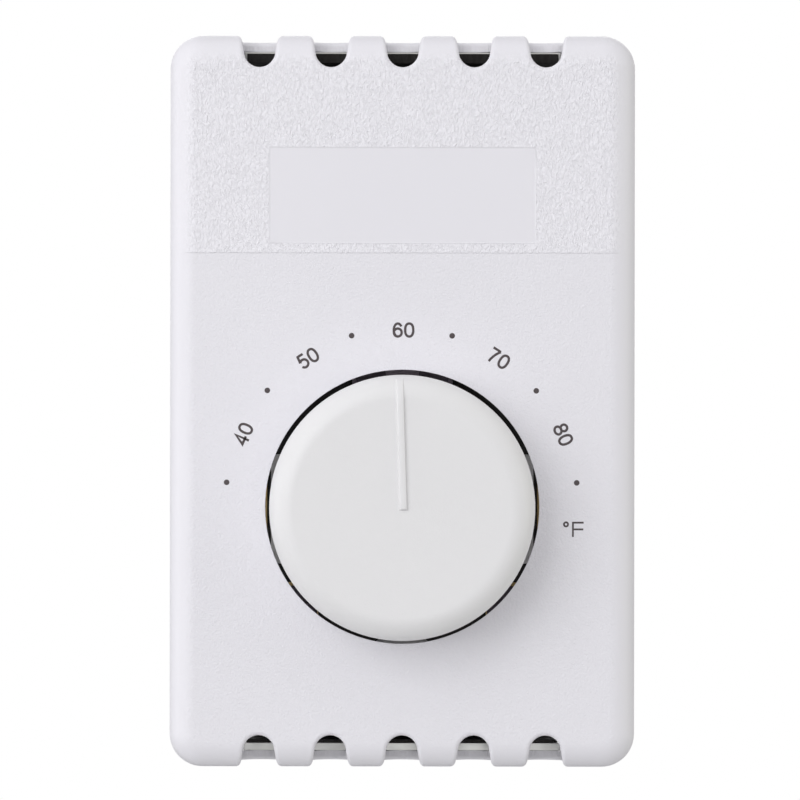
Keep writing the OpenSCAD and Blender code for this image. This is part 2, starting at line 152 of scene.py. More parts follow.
# Lights and tones were fitted to the photo; the coarse grain's factor paints it lighter, a painted
# highlight that offsets the shade its bump adds.
COVER_COLOUR = (0.804, 0.793, 0.842)
COARSE_PAINTED_LIGHT = 1.12
GRAIN_DEPTH = 0.28
FINE_SHARE = 0.4


# ---------------------------------------------------------------- mesh building

class Shell:
    """Collects points and faces in millimetres, and a normal for each face corner.

    Faces given without normals leave the shading to the angle between them.
    """

    def __init__(self):
        self.points = []
        self.faces = []
        self.normals = []

    def point(self, place):
        self.points.append(Vector(place))
        return len(self.points) - 1

    def face(self, corners, normals=()):
        self.faces.append(tuple(corners))
        self.normals.extend(normals)

    def strip(self, ring_a, ring_b, normals_a=None, normals_b=None):
        """Quads between two closed rings of points that run the same way."""
        count = len(ring_a)
        for i in range(count):
            j = (i + 1) % count
            normals = ()
            if normals_a:
                normals = (normals_a[i], normals_a[j], normals_b[j], normals_b[i])
            self.face((ring_a[i], ring_a[j], ring_b[j], ring_b[i]), normals)

    def fan(self, ring, centre, normal):
        """Triangles from a ring of points to one point inside it."""
        count = len(ring)
        for i in range(count):
            self.face((ring[i], ring[(i + 1) % count], centre), (normal,) * 3)

    def finish(self, name, material, body, slot):
        """Makes the object in metres."""
        mesh = bpy.data.meshes.new(name)
        mesh.from_pydata([p * MM for p in self.points], [], self.faces)
        if self.normals:
            mesh.polygons.foreach_set("use_smooth", [True] * len(self.faces))
            mesh.normals_split_custom_set(self.normals)
        else:
            shade_by_angle(mesh)
        return place_piece(name, mesh, material, body)


def shade_by_angle(mesh, angle=35):
    """Smooth shading that keeps edges sharper than the angle, in degrees."""
    mesh.polygons.foreach_set("use_smooth", [True] * len(mesh.polygons))
    mesh.set_sharp_from_angle(angle=math.radians(angle))


def place_piece(name, mesh, material, body):
    """Puts a mesh in the scene with its material, on its body."""
    mesh.materials.clear()
    mesh.materials.append(material)
    piece = bpy.data.objects.new(name, mesh)
    bpy.context.scene.collection.objects.link(piece)
    if body:
        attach(piece, body)
    return piece


def rounded_blocks(name, blocks, radius, material, body):
    """One piece made of boxes with rounded edges; each is its corners and its turn."""
    form = bmesh.new()
    for low, high, turn in blocks:
        low, high = Vector(low), Vector(high)
        stretch = Matrix.Diagonal((*(high - low), 1))
        bmesh.ops.create_cube(form, matrix=turn @ Matrix.Translation((low + high) / 2) @ stretch)
    bmesh.ops.bevel(form, geom=form.edges[:], offset=radius, segments=2, profile=0.5,
                    affect="EDGES", clamp_overlap=True)
    mesh = bpy.data.meshes.new(name)
    bmesh.ops.scale(form, vec=(MM, MM, MM), verts=form.verts)
    form.to_mesh(mesh)
    form.free()
    shade_by_angle(mesh)
    return place_piece(name, mesh, material, body)


def lerp(a, b, share):
    return a + (b - a) * share


def spread(start, end, count):
    """Evenly spaced values from start to end, with both ends."""
    return [lerp(start, end, i / (count - 1)) for i in range(count)]


def clamp(value, low, high):
    return max(low, min(high, value))


# ---------------------------------------------------------------- cover

# The cover's outer skin is laid out flat as a sheet with coordinates u and v: u is x and
# v is z on the face, and the rounded edges and side walls carry on outwards at their true
# length. A point's reach is its distance from the core, the rectangle between the corners.
CORE_U = COVER_W / 2 - CORNER_R
CORE_V = COVER_H / 2 - CORNER_R
FLAT_REACH = CORNER_R - EDGE_R
FOLD_REACH = FLAT_REACH + EDGE_R * math.pi / 2
REAR_REACH = FOLD_REACH + FACE_DEPTH - EDGE_R - COVER_BACK

NOTCH_NEAR = COVER_H / 2 - NOTCH_REACH + NOTCH_R
NOTCH_FAR = CORE_V + REAR_REACH - (NOTCH_BACK - COVER_BACK) - NOTCH_R - NOTCH_FLARE
NOTCH_X = [(i - (NOTCH_COUNT - 1) / 2) * NOTCH_PITCH for i in range(NOTCH_COUNT)]
EDGE_ANGLES = spread(0, math.pi / 2, 7)


def reach_of(u, v):
    """Distance from the core, and the direction of growing distance."""
    du = u - clamp(u, -CORE_U, CORE_U)
    dv = v - clamp(v, -CORE_V, CORE_V)
    reach = math.hypot(du, dv)
    if reach < 1e-6:
        return 0.0, 0.0, 1.0
    return reach, du / reach, dv / reach


def fold(u, v):
    """Place and normal of a sheet point, and a function that turns sheet directions."""
    reach, nu, nv = reach_of(u, v)
    turn = clamp((reach - FLAT_REACH) / EDGE_R, 0, math.pi / 2)
    out = min(reach, FLAT_REACH) + EDGE_R * math.sin(turn)
    drop = EDGE_R * (1 - math.cos(turn)) + max(0, reach - FOLD_REACH)
    place = Vector((
        clamp(u, -CORE_U, CORE_U) + nu * out,
        drop - FACE_DEPTH,
        clamp(v, -CORE_V, CORE_V) + nv * out,
    ))
    normal = Vector((nu * math.sin(turn), -math.cos(turn), nv * math.sin(turn)))
    along = Vector((nu * math.cos(turn), math.sin(turn), nv * math.cos(turn)))
    sideways = Vector((-nv, 0, nu))

    def turned(a, b):
        return along * (a * nu + b * nv) + sideways * (b * nu - a * nv)

    return place, normal, turned


def notch_radius(v):
    """Half width of a notch, which flares over the rounded edge."""
    return NOTCH_R + NOTCH_FLARE * clamp((v - NOTCH_NEAR) / (CORE_V + FOLD_REACH - NOTCH_NEAR), 0, 1)


def notch_distance(u, v):
    """Distance from the nearest notch's outline and the sheet direction towards it."""
    x = min(NOTCH_X, key=lambda centre: abs(u - centre))
    end = math.copysign(clamp(abs(v), NOTCH_NEAR, NOTCH_FAR), v)
    du, dv = x - u, end - v
    length = math.hypot(du, dv)
    if length < 1e-6:
        return -NOTCH_R, (0, 0)
    return length - notch_radius(abs(end)), (du / length, dv / length)


def hole_distance(u, v):
    length = math.hypot(u, v - DIAL_Z)
    if length < 1e-6:
        return -HOLE_R, (0, 0)
    return length - HOLE_R, (-u / length, (DIAL_Z - v) / length)


def rear_distance(u, v):
    reach, nu, nv = reach_of(u, v)
    return REAR_REACH - reach, (nu, nv)


def panel_distance(u, v):
    """Distance inside the smooth label panel and the direction away from its edge."""
    sides = [
        (PANEL_HALF_W - u, (-1, 0)),
        (PANEL_HALF_W + u, (1, 0)),
        (PANEL_Z[1] - v, (0, -1)),
        (v - PANEL_Z[0], (0, 1)),
    ]
    return min(sides)


def edge_of(u, v):
    """How far a point sinks at a rounded edge, and how its normal leans."""
    for distance, radius in (
        (notch_distance, NOTCH_EDGE_R),
        (hole_distance, HOLE_EDGE_R),
        (rear_distance, RIM_R),
    ):
        t, towards = distance(u, v)
        if t < radius - 1e-4:
            lean = clamp((radius - t) / radius, 0, 1)
            upright = math.sqrt(max(0, 1 - lean * lean))
            return radius * (1 - upright), upright, lean, towards
    t, inwards = panel_distance(u, v)
    if t <= 0:
        return 0.0, 1.0, 0.0, (0, 0)
    share = clamp(t / PANEL_BEVEL, 0, 1)
    sink = PANEL_DEPTH * (1 - math.cos(math.pi * share)) / 2
    slope = PANEL_DEPTH * math.pi / PANEL_BEVEL * math.sin(math.pi * share) / 2
    length = math.hypot(1, slope)
    return sink, 1 / length, slope / length, inwards


def skin_point(u, v):
    """Place and normal of the cover's outer skin."""
    place, normal, turned = fold(u, v)
    sink, upright, lean, towards = edge_of(u, v)
    return place - normal * sink, normal * upright + turned(*towards) * lean


def lining_point(u, v):
    """Place and normal of the cover's inner skin."""
    place, normal, _ = fold(u, v)
    reach = reach_of(u, v)[0]
    share = clamp((reach - FLAT_REACH) / (FOLD_REACH - FLAT_REACH), 0, 1)
    return place - normal * lerp(FACE_T, WALL_T, share), -normal


def notch_ring(x, side, offset, levels):
    """Outline of one notch on the sheet, moved outwards by offset."""
    near_r, far_r = NOTCH_R + offset, NOTCH_R + NOTCH_FLARE + offset
    flanks = [v for v in levels if NOTCH_NEAR + 0.1 < v < NOTCH_FAR - 0.1]
    turns = spread(0, math.pi, 17)
    ring = [(far_r * math.cos(a), NOTCH_FAR + far_r * math.sin(a)) for a in turns]
    ring += [(-notch_radius(v) - offset, v) for v in reversed(flanks)]
    ring += [(-near_r * math.cos(a), NOTCH_NEAR - near_r * math.sin(a)) for a in turns]
    ring += [(notch_radius(v) + offset, v) for v in flanks]
    return [(x + u, side * v) for u, v in ring]


def hole_ring(offset):
    turns = [2 * math.pi * i / HOLE_SEGMENTS for i in range(HOLE_SEGMENTS)]
    radius = HOLE_R + offset
    return [(radius * math.sin(a), DIAL_Z + radius * math.cos(a)) for a in turns]


def panel_ring(inset):
    """Outline of the label panel, moved inwards by inset."""
    half = PANEL_HALF_W - inset
    low, high = PANEL_Z[0] + inset, PANEL_Z[1] - inset
    across = spread(-half, half, 12)[:-1]
    upwards = spread(low, high, 5)[:-1]
    return (
        [(u, low) for u in across]
        + [(half, v) for v in upwards]
        + [(-u, high) for u in across]
        + [(-half, low + high - v) for v in upwards]
    )


def core_ring(reach, columns, rows):
    """The line round the core at one reach, with its corners as arcs."""
    turns = spread(0, math.pi / 2, 13)[1:-1]
    sides = [(u, -CORE_V - reach) for u in columns]
    sides += [(CORE_U + reach * math.sin(a), -CORE_V - reach * math.cos(a)) for a in turns]
    sides += [(CORE_U + reach, v) for v in rows]
    sides += [(CORE_U + reach * math.cos(a), CORE_V + reach * math.sin(a)) for a in turns]
    sides += [(-u, CORE_V + reach) for u in columns]
    sides += [(-CORE_U - reach * math.sin(a), CORE_V + reach * math.cos(a)) for a in turns]
    sides += [(-CORE_U - reach, -v) for v in rows]
    sides += [(-CORE_U - reach * math.cos(a), -CORE_V - reach * math.sin(a)) for a in turns]
    return sides


def edge_offsets(radius):
    """Distances from an edge at which the rounding gets a ring of points."""
    return [radius * (1 - math.sin(a)) for a in reversed(EDGE_ANGLES)]


def cover_sheet():
    """Points and triangles of the flat sheet, without the notches and the dial's hole."""
    columns = [i * NOTCH_PITCH / 2 for i in range(-NOTCH_COUNT, NOTCH_COUNT + 1)]
    columns = [-CORE_U] + columns + [CORE_U]
    rows = spread(-CORE_V, CORE_V, 23)
    reaches = spread(FLAT_REACH, FOLD_REACH, 13) + spread(FOLD_REACH, REAR_REACH, 12)[1:-1]
    levels = [CORE_V + reach for reach in reaches]
    points, loops = [], []

    def add_loop(ring):
        start = len(points)
        points.extend(ring)
        count = len(ring)
        loops.extend((start + i, start + (i + 1) % count) for i in range(count))

    for offset in edge_offsets(NOTCH_EDGE_R):
        for x in NOTCH_X:
            for side in (-1, 1):
                add_loop(notch_ring(x, side, offset, levels))
    hole_offsets = edge_offsets(HOLE_EDGE_R) + [COLLAR_T]
    hole_starts = [len(points) + i * HOLE_SEGMENTS for i in range(len(hole_offsets))]
    for offset in hole_offsets:
        add_loop(hole_ring(offset))
    for offset in edge_offsets(RIM_R):
        add_loop(core_ring(REAR_REACH - offset, columns, rows))
    for inset in spread(0, PANEL_BEVEL, 5):
        add_loop(panel_ring(inset))

    loose = [(u, v) for u in columns for v in rows]
    for reach in reaches:
        loose += core_ring(reach, columns, rows)
    for u, v in loose:
        clear = (
            notch_distance(u, v)[0] > NOTCH_EDGE_R + 0.25
            and hole_distance(u, v)[0] > COLLAR_T + 0.8
            and abs(panel_distance(u, v)[0]) > PANEL_BEVEL + 0.5
            and rear_distance(u, v)[0] > RIM_R + 0.2
        )
        if clear:
            points.append((u, v))
    found = delaunay_2d_cdt([Vector(p) for p in points], loops, [], 0, 1e-4, True)
    sheet = [(p.x, p.y) for p in found[0]]
    faces = [f for f in found[2] if inside_skin(sheet, f)]
    place_of = {given: i for i, givens in enumerate(found[3]) for given in givens}
    mouth, collar = (
        [place_of[start + i] for i in range(HOLE_SEGMENTS)]
        for start in (hole_starts[0], hole_starts[-1])
    )
    return sheet, faces, mouth, collar


def inside_skin(sheet, face):
    u = sum(sheet[i][0] for i in face) / 3
    v = sum(sheet[i][1] for i in face) / 3
    return notch_distance(u, v)[0] > 0 and hole_distance(u, v)[0] > 0


def free_edges(faces):
    """Edges that only one face uses, in that face's direction."""
    edges = {(f[i], f[(i + 1) % 3]) for f in faces for i in range(3)}
    return [(a, b) for a, b in edges if (b, a) not in edges]


def build_cover(material):
    sheet, faces, mouth, collar = cover_sheet()
    shell = Shell()
    skin = [skin_point(u, v) for u, v in sheet]
    lining = [lining_point(u, v) for u, v in sheet]
    outer = [shell.point(place) for place, _ in skin]
    inner = [shell.point(place) for place, _ in lining]
    behind_collar = {
        i for i, (u, v) in enumerate(sheet) if hole_distance(u, v)[0] < COLLAR_T + 0.01
    }
    for face in faces:
        shell.face([outer[i] for i in face], [skin[i][1] for i in face])
        if not behind_collar.issuperset(face):
            back = face[::-1]
            shell.face([inner[i] for i in back], [lining[i][1] for i in back])
    for a, b in free_edges(faces):
        if a in behind_collar:
            continue
        lean_a, lean_b = skin[a][1], skin[b][1]
        shell.face((outer[b], outer[a], inner[a], inner[b]), (lean_b, lean_a, lean_a, lean_b))
    add_collar(shell, [outer[i] for i in mouth], [inner[i] for i in collar])
    cover = shell.finish("cover_shell", material, "housing", "cover_plastic")
    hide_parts("cover")
    return cover


def add_collar(shell, mouth, root):
    """The dial hole's wall and the collar behind the face that carries it deeper."""
    outward = [Vector((u, 0, v - DIAL_Z)).normalized() for u, v in hole_ring(0)]
    inward = [-n for n in outward]
    rearward = [Vector((0, 1, 0))] * len(outward)
    axis = Vector((0, 0, DIAL_Z))
    back = Vector((0, -COLLAR_DEPTH, 0))
    lip_in = [shell.point(axis + back + n * (HOLE_R + COLLAR_DRAFT)) for n in outward]
    lip_out = [shell.point(axis + back + n * (HOLE_R + COLLAR_T)) for n in outward]
    shell.strip(lip_in, mouth, inward, inward)
    shell.strip(lip_out, lip_in, rearward, rearward)
    shell.strip(root, lip_out, outward, outward)


def build_cover_details(material):
    """Beads that clip into the plate's flanges, and stiffening ribs in the side walls."""
    inner_w, inner_h = COVER_W / 2 - WALL_T, COVER_H / 2 - WALL_T
    blocks = []
    for side in (-1, 1):
        for x in (-BEAD_X, BEAD_X):
            ends = sorted((side * (inner_h - 1), side * (inner_h + 0.3)))
            low = (x - 2.4, -BEAD_DEPTHS[1], ends[0])
            high = (x + 2.4, -BEAD_DEPTHS[0], ends[1])
            blocks.append((low, high, Matrix()))
        for z in RIB_Z:
            ends = sorted((side * (inner_w - 1.2), side * (inner_w + 0.3)))
            low = (ends[0], -(FACE_DEPTH - FACE_T - 3.5), z - 0.6)
            high = (ends[1], -2, z + 0.6)
            blocks.append((low, high, Matrix()))
    return rounded_blocks("cover_ribs", blocks, 0.25, material, "housing")


# ---------------------------------------------------------------- knob

DIAL_AXIS = Vector((0, 0, DIAL_Z))
KNOB_SEGMENTS = 144


def around(count):
    """Directions round the dial's axis, clockwise from straight up."""
    turns = [2 * math.pi * i / count for i in range(count)]
    return [Vector((math.sin(a), 0, math.cos(a))) for a in turns]


def line(start, end):
    """Straight stretch of a section: (radius, depth, normal's radial and forward parts)."""
    dr, dd = end[0] - start[0], end[1] - start[1]
    length = math.hypot(dr, dd)
    return [(*start, -dd / length, dr / length), (*end, -dd / length, dr / length)]


def arc(centre, radius, start, end, count=7, hollow=False):
    """Round stretch of a section; angles are in degrees, from forwards to outwards."""
    sign = -1 if hollow else 1
    stretch = []
    for a in spread(math.radians(start), math.radians(end), count):
        s, c = math.sin(a), math.cos(a)
        stretch.append((centre[0] + radius * s, centre[1] + radius * c, sign * s, sign * c))
    return stretch


def knob_section():
    """Section of the knob from the middle of its face, over the rim and up the inside."""
    flat_r = KNOB_R - KNOB_EDGE_R
    shoulder = KNOB_FACE - KNOB_EDGE_R
    skin_r = KNOB_R - KNOB_SKIN
    inner_face = KNOB_FACE - 2
    inner_r = 2.25
    lip = 0.3
    hub_back = KNOB_BACK - 1
    return [
        line((4, KNOB_FACE), (flat_r, KNOB_FACE)),
        arc((flat_r, shoulder), KNOB_EDGE_R, 0, 90, 19),
        line((KNOB_R, shoulder), (KNOB_R, KNOB_BACK + lip)),
        arc((KNOB_R - lip, KNOB_BACK + lip), lip, 90, 180),
        line((KNOB_R - lip, KNOB_BACK), (skin_r + lip, KNOB_BACK)),
        arc((skin_r + lip, KNOB_BACK + lip), lip, 180, 270),
        line((skin_r, KNOB_BACK + lip), (skin_r, inner_face - inner_r)),
        arc((skin_r - inner_r, inner_face - inner_r), inner_r, 90, 0, 9, hollow=True),
        line((skin_r - inner_r, inner_face), (HUB_R, inner_face)),
        line((HUB_R, inner_face), (HUB_R, hub_back + lip)),
        arc((HUB_R - lip, hub_back + lip), lip, 90, 180),
        line((HUB_R - lip, hub_back), (BORE_R + 0.3, hub_back)),
    ]


def build_knob(material):
    shell = Shell()
    spokes = around(KNOB_SEGMENTS)
    front = Vector((0, -1, 0))
    rings = {}

    def ring(radius, depth):
        key = (round(radius, 4), round(depth, 4))
        if key not in rings:
            start = DIAL_AXIS + front * depth
            rings[key] = [shell.point(start + s * radius) for s in spokes]
        return rings[key]

    for stretch in knob_section():
        for (r1, d1, *lean_1), (r2, d2, *lean_2) in zip(stretch, stretch[1:]):
            normals_1 = [s * lean_1[0] + front * lean_1[1] for s in spokes]
            normals_2 = [s * lean_2[0] + front * lean_2[1] for s in spokes]
            shell.strip(ring(r1, d1), ring(r2, d2), normals_1, normals_2)
    middle = shell.point(DIAL_AXIS + front * KNOB_FACE)
    shell.fan(ring(4, KNOB_FACE)[::-1], middle, front)
    add_bore(shell, ring(BORE_R + 0.3, KNOB_BACK - 1), spokes, front)
    knob = shell.finish("knob_shell", material, "dial", "knob_plastic")
    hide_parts("knob")
    return knob


def add_bore(shell, mouth, spokes, front):
    """D-shaped bore in the hub, with a chamfered mouth and a flat bottom."""
    places = [Vector((s.x * BORE_R, 0, min(s.z * BORE_R, BORE_FLAT))) for s in spokes]
    inward = [-s if s.z * BORE_R < BORE_FLAT else Vector((0, 0, -1)) for s in spokes]
    lead = [(n - front).normalized() for n in inward]
    near, far = front * (KNOB_BACK - 0.7), front * (KNOB_FACE - 2.4)
    throat = [shell.point(DIAL_AXIS + near + p) for p in places]
    end = [shell.point(DIAL_AXIS + far + p) for p in places]
    shell.strip(mouth, throat, lead, lead)
    shell.strip(throat, end, inward, inward)
    shell.fan(end, shell.point(DIAL_AXIS + far), -front)


def build_knob_ribs(material):
    """Six ribs inside the knob, from its hub to its skin."""
    blocks = []
    for i in range(6):
        turn = Matrix.Translation(DIAL_AXIS) @ Matrix.Rotation(i * math.pi / 3, 4, "Y")
        low = (HUB_R - 0.4, -(KNOB_FACE - 4.5), -0.6)
        high = (KNOB_R - KNOB_SKIN + 0.4, -(KNOB_BACK + 5), 0.6)
        blocks.append((low, high, turn))
    return rounded_blocks("knob_ribs", blocks, 0.2, material, "dial")


def rim_depth(radius, edge, face):
    """Depth of a flat face with a rounded rim, at one radius."""
    over = radius - (KNOB_R - edge)
    if over <= 0:
        return face
    return face - edge + math.sqrt(max(0, edge * edge - over * over))


def build_pointer(material):
    """Raised rib from the knob's middle to its rim, steep on its right, with a square end."""
    right = [(0.58, 0.0), (0.53, 0.3), (0.50, 0.8), (0.47, 0.95), (0.42, 1.0)]
    left = [(-0.38, 1.0), (-0.44, 0.96), (-0.52, 0.75), (-0.62, 0.3), (-0.70, 0.0)]
    section = right + left
    ends = [(-0.32, 0.0), (-0.25, 0.4), (-0.18, 0.78), (-0.11, 0.95), (-0.02, 1.0)]
    stations = ends + [(r, 1.0) for r in spread(1, KNOB_R - KNOB_EDGE_R - 1, 6)]
    stations += [(r, 1.0) for r in spread(KNOB_R - KNOB_EDGE_R - 0.6, KNOB_R - 0.6, 14)]
    shell = Shell()
    turn = Matrix.Rotation(-POINTER_ANGLE, 3, "Y")
    rings = []
    for radius, share in stations:
        base = rim_depth(abs(radius), KNOB_EDGE_R, KNOB_FACE)
        top = rim_depth(abs(radius), KNOB_EDGE_R + POINTER_H, KNOB_FACE + POINTER_H)
        ring = [(x, base + h * share * (top - base)) for x, h in section]
        ring = [(right[0][0], base - 0.3)] + ring + [(left[-1][0], base - 0.3)]
        places = [turn @ Vector((POINTER_X + x, -depth, radius)) for x, depth in ring]
        rings.append([shell.point(DIAL_AXIS + p) for p in places])
    for a, b in zip(rings, rings[1:]):
        shell.strip(b, a)
    shell.face(rings[0])
    shell.face(rings[-1][::-1])
    return shell.finish("knob_pointer", material, "dial", "knob_plastic")


# ---------------------------------------------------------------- printed scale

def scale_place(degrees, radius, centre_x):
    """Point of the printed scale, by its angle clockwise from straight up."""
    a = math.radians(degrees)
    return Vector((centre_x + radius * math.sin(a), -FACE_DEPTH, SCALE_Z + radius * math.cos(a)))


def oval(x, y, a, b, start=0, end=360, power=1.0):
    """Part of an ellipse as a line of points, anticlockwise; a whole one is closed.

    A power under 1 fills the corners out.
    """
    def drawn_out(value):
        return math.copysign(abs(value) ** power, value)

    count = max(8, round(abs(end - start) / 10))
    turns = spread(math.radians(start), math.radians(end), count + 1)
    points = [(x + a * drawn_out(math.cos(t)), y + b * drawn_out(math.sin(t))) for t in turns]
    whole = abs(end - start) == 360
    return (points[:-1] if whole else points), whole


def bend(start, middle, end, count=9):
    """Line of points that leaves start towards middle and curves to end."""
    points = []
    for t in spread(0, 1, count):
        weights = ((1 - t) ** 2, 2 * t * (1 - t), t * t)
        points.append(tuple(
            sum(w * p[k] for w, p in zip(weights, (start, middle, end))) for k in (0, 1)
        ))
    return points, False


def figure_strokes(letter):
    """Centre lines of a figure's strokes, in millimetres from its lower left corner."""
    w, h = FIGURE_W, FIGURE_H
    strokes = {
        "0": [oval(w / 2, h / 2, w / 2, h / 2, power=0.86)],
        "4": [([(0.95, -0.2), (0.95, h), (0.02, 0.5), (w + 0.1, 0.5)], False)],
        "5": [
            ([(1.2, h), (0.27, h), (0.09, 0.97)], False),
            oval(0.62, 0.64, 0.62, 0.64, 148, -152),
        ],
        "6": [
            oval(0.66, h / 2, 0.64, h / 2, 33, 235),
            oval(0.65, 0.62, 0.61, 0.62),
        ],
        "7": [([(-0.1, h), (w, h)], False), bend((w, h), (0.56, 1.15), (0.42, -0.2))],
        "8": [oval(w / 2, 1.52, 0.52, 0.51), oval(w / 2, 0.52, w / 2, 0.52)],
        "F": [([(0, -0.2), (0, h), (1.68, h)], False), ([(0, 0.98), (1.62, 0.98)], False)],
        "degree": [oval(0.3, h - 0.27, 0.32, 0.32)],
    }
    return strokes[letter]


def ink_line(shell, points, closed, width, top, place):
    """Thin flat bar along a line of points; place turns a point and a rise into 3-D."""
    half = width / 2
    count = len(points)
    rings = []
    for i, (x, y) in enumerate(points):
        before = points[i - 1] if i or closed else (x, y)
        after = points[(i + 1) % count] if i < count - 1 or closed else (x, y)
        into = Vector((x - before[0], y - before[1])).normalized()
        away = Vector((after[0] - x, after[1] - y)).normalized()
        run = (into + away).normalized()
        mitre = half / max(0.45, run.dot(away if away.length else into))
        side = Vector((run.y, -run.x)) * mitre
        right, left = (x + side.x, y + side.y), (x - side.x, y - side.y)
        corners = [(right, -0.02), (right, top), (left, top), (left, -0.02)]
        rings.append([shell.point(place(*spot, rise)) for spot, rise in corners])
    for a, b in zip(rings, rings[1:] + (rings[:1] if closed else [])):
        shell.strip(b, a)
    if not closed:
        shell.face(rings[0])
        shell.face(rings[-1][::-1])


def print_label(name, letters, advances, stroke_w, centre, degrees, material):
    """A word in ink on the face, centred on a place and turned clockwise."""
    shell = Shell()
    turn = Matrix.Rotation(math.radians(degrees), 3, "Y")
    width = sum(advances) + FIGURE_W
    start = 0
    for letter, advance in zip(letters, [*advances, 0]):
        def place(x, y, rise, start=start):
            local = Vector((start + x - width / 2, -rise, y - FIGURE_H / 2))
            return centre + turn @ local
        for i, (points, closed) in enumerate(figure_strokes(letter)):
            ink_line(shell, points, closed, stroke_w, PRINT_T + 0.004 * i, place)
        start += advance
    return shell.finish(name, material, "housing", "knob_plastic")


def build_scale(material):
    """Figures from 40 to 80, a dot between them, and the unit."""
    for i, figure in enumerate(SCALE_FIGURES):
        degrees = (i - 2) * SCALE_STEP
        place = scale_place(degrees, FIGURE_R, FIGURE_X)
        name = "print_" + figure
        print_label(name, figure, [FIGURE_ADVANCE], STROKE_W, place, degrees, material)
    unit_place = scale_place(UNIT_ANGLE, UNIT_R, DOT_X)
    letters = ("degree", "F")
    print_label("print_unit", letters, [UNIT_ADVANCE], UNIT_STROKE_W, unit_place, 0, material)
    shell = Shell()
    front = Vector((0, -1, 0))
    spokes = around(24)
    for i in range(len(SCALE_FIGURES) + 1):
        place = scale_place((i - 2.5) * SCALE_STEP, DOT_R, DOT_X)
        base = [shell.point(place - front * 0.02 + s * DOT_SIZE) for s in spokes]
        edge = [shell.point(place + front * PRINT_T * 0.6 + s * DOT_SIZE) for s in spokes]
        top = [shell.point(place + front * PRINT_T + s * (DOT_SIZE - 0.03)) for s in spokes]
        shell.strip(edge, base, spokes, spokes)
        shell.strip(top, edge, [front] * 24, spokes)
        shell.fan(top[::-1], shell.point(place + front * PRINT_T), front)
        shell.fan(base, shell.point(place - front * 0.02), -front)
    return shell.finish("print_dots", material, "housing", "knob_plastic")


# ---------------------------------------------------------------- carriage spring

def build_spring(material):
    """Coil of round wire with closed ends."""
    low, high = box_mm("carriage_spring")
    axis = Vector(((low.x + high.x) / 2, (low.y + high.y) / 2, 0))
    coil_r = (high.x - low.x) / 2 - WIRE_R
    steps = 28 * SPRING_TURNS
    shell = Shell()
    rings = []
    for i in range(steps + 1):
        share = i / steps
        a = 2 * math.pi * SPRING_TURNS * share
        open_share = clamp((share * SPRING_TURNS - 0.8) / (SPRING_TURNS - 1.6), 0, 1)
        height = lerp(low.z + WIRE_R, high.z - WIRE_R - 0.05, open_share)
        out = Vector((math.cos(a), math.sin(a), 0))
        spread_out = 0.12 * share if open_share in (0, 1) else 0.0
        centre = axis + out * (coil_r - spread_out) + Vector((0, 0, height))
        ring = []
        for k in range(10):
            b = 2 * math.pi * k / 10
            ring.append(shell.point(
                centre + out * (WIRE_R * math.cos(b)) + Vector((0, 0, WIRE_R * math.sin(b)))
            ))
        rings.append(ring)
    for a, b in zip(rings, rings[1:]):
        shell.strip(b, a)
    shell.face(rings[0])
    shell.face(rings[-1][::-1])
    spring = shell.finish("spring_wire", material, None, "spring_steel")
    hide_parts("carriage_spring")
    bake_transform(spring)
    return spring


# ---------------------------------------------------------------- materials

class Finish:
    """One material, with short calls to add and join its nodes."""

    def __init__(self, name, roughness, metallic=0.0, **shader_values):
        self.material = bpy.data.materials.new(name)
        self.material.use_nodes = True
        self.tree = self.material.node_tree
        self.shader = self.tree.nodes["Principled BSDF"]
        self.feed(self.shader.inputs["Metallic"], metallic)
        self.feed(self.shader.inputs["Roughness"], roughness)
        for socket, value in shader_values.items():
            self.feed(self.shader.inputs[socket.replace("_", " ")], value)
        self.place = self.add("ShaderNodeTexCoord").outputs["Object"]

    def feed(self, socket, value):
        if isinstance(value, bpy.types.NodeSocket):
            self.tree.links.new(value, socket)
        else:
            socket.default_value = value

    def add(self, kind, inputs=None, **settings):
        node = self.tree.nodes.new(kind)
        for key, value in settings.items():
            setattr(node, key, value)
        for key, value in (inputs or {}).items():
            self.feed(node.inputs[key], value)
        return node

    def math(self, operation, a, b=0.0):
        return self.add("ShaderNodeMath", {0: a, 1: b}, operation=operation).outputs[0]

    def stretched(self, turn=(0, 0, 0), scale=(1, 1, 1)):
        """Object coordinates, turned and stretched."""
        inputs = {"Vector": self.place, "Rotation": turn, "Scale": scale}
        return self.add("ShaderNodeMapping", inputs).outputs[0]

    def noise(self, cell_mm, detail=2.0, distortion=0.0, vector=None):
        """Noise from 0 to 1 with cells of about that size."""
        inputs = {
            "Vector": vector or self.place,
            "Scale": 1 / (cell_mm * MM),
            "Detail": detail,
            "Distortion": distortion,
        }
        return self.add("ShaderNodeTexNoise", inputs).outputs[0]

    def cells(self, cell_mm, feature="F1"):
        inputs = {"Vector": self.place, "Scale": 1 / (cell_mm * MM)}
        return self.add("ShaderNodeTexVoronoi", inputs, feature=feature).outputs["Distance"]

    def ramp(self, value, start, end, low=0.0, high=1.0):
        """Value from low to high as another goes from start to end, smoothly."""
        inputs = {"Value": value, "From Min": start, "From Max": end, "To Min": low, "To Max": high}
        node = self.add("ShaderNodeMapRange", inputs, interpolation_type="SMOOTHSTEP")
        return node.outputs[0]

    def blend(self, share, a, b):
        """Colour between a and b."""
        node = self.add("ShaderNodeMix", data_type="RGBA")
        self.feed(node.inputs[0], share)
        self.feed(node.inputs[6], (*a, 1) if isinstance(a, tuple) else a)
        self.feed(node.inputs[7], (*b, 1) if isinstance(b, tuple) else b)
        return node.outputs[2]

    def colour(self, value):
        self.feed(self.shader.inputs["Base Color"], value)

    def roughness(self, value):
        self.feed(self.shader.inputs["Roughness"], value)

    def bump(self, height, depth_mm, strength=1.0):
        inputs = {"Height": height, "Distance": depth_mm * MM, "Strength": strength}
        node = self.add("ShaderNodeBump", inputs)
        self.feed(self.shader.inputs["Normal"], node.outputs[0])


